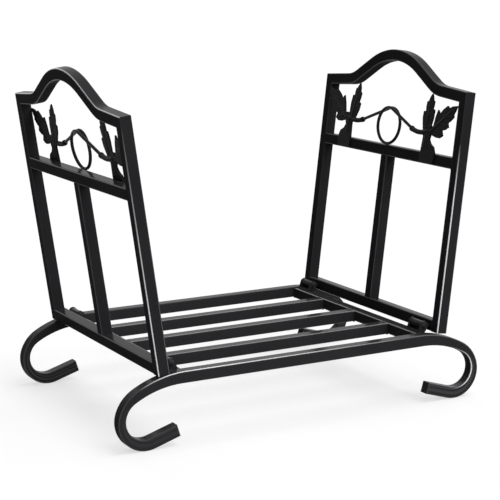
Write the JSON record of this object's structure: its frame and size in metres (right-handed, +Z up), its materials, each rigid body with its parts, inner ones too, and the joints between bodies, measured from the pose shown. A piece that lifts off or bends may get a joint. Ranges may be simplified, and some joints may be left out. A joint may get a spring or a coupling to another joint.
{
  "type": "folding log holder",
  "caption": "Black metal fireside log holder: a slatted base on scroll feet and hinged, outward-leaning arched panels with leaf-and-vine castings that fold flat.",
  "frame": {"origin": "middle of the footprint, on the floor under the feet", "axes": "+X along the length from the left panel to the right panel, +Y from front to rear, +Z up"},
  "size_m": [0.4966, 0.3366, 0.4246],
  "materials": {
    "tube": "satin black powder coat",
    "castings": "satin black powder coat on cast leaves",
    "hinges": "satin black powder coat"
  },
  "bodies": {
    "base": {"front_rail": "tube", "front_slat": "tube", "left_cross_bar": "tube", "left_front_hinge_bracket": "hinges", "left_front_hinge_pin": "hinges", "left_rear_hinge_bracket": "hinges", "left_rear_hinge_pin": "hinges", "middle_slat": "tube", "rear_rail": "tube", "rear_slat": "tube", "right_cross_bar": "tube", "right_front_hinge_bracket": "hinges", "right_front_hinge_pin": "hinges", "right_rear_hinge_bracket": "hinges", "right_rear_hinge_pin": "hinges"},
    "left_panel": {"left_arch_bar": "tube", "left_bottom_rail": "tube", "left_centre_bar": "tube", "left_front_hinge_knuckle": "hinges", "left_front_leaf": "castings", "left_front_upright": "tube", "left_mid_rail": "tube", "left_rear_hinge_knuckle": "hinges", "left_rear_leaf": "castings", "left_rear_upright": "tube", "left_vine_wire": "castings"},
    "right_panel": {"right_arch_bar": "tube", "right_bottom_rail": "tube", "right_centre_bar": "tube", "right_front_hinge_knuckle": "hinges", "right_front_leaf": "castings", "right_front_upright": "tube", "right_mid_rail": "tube", "right_rear_hinge_knuckle": "hinges", "right_rear_leaf": "castings", "right_rear_upright": "tube", "right_vine_wire": "castings"}
  },
  "joints": [
    {"name": "left_fold", "type": "hinge", "parent": "base", "child": "left_panel", "pos_m": [-0.174, 0, 0.09406], "axis": [0, 1, 0], "range_deg": [0, 100]},
    {"name": "right_fold", "type": "hinge", "parent": "base", "child": "right_panel", "pos_m": [0.174, 0, 0.09406], "axis": [0, -1, 0], "range_deg": [0, 93.8]}
  ]
}
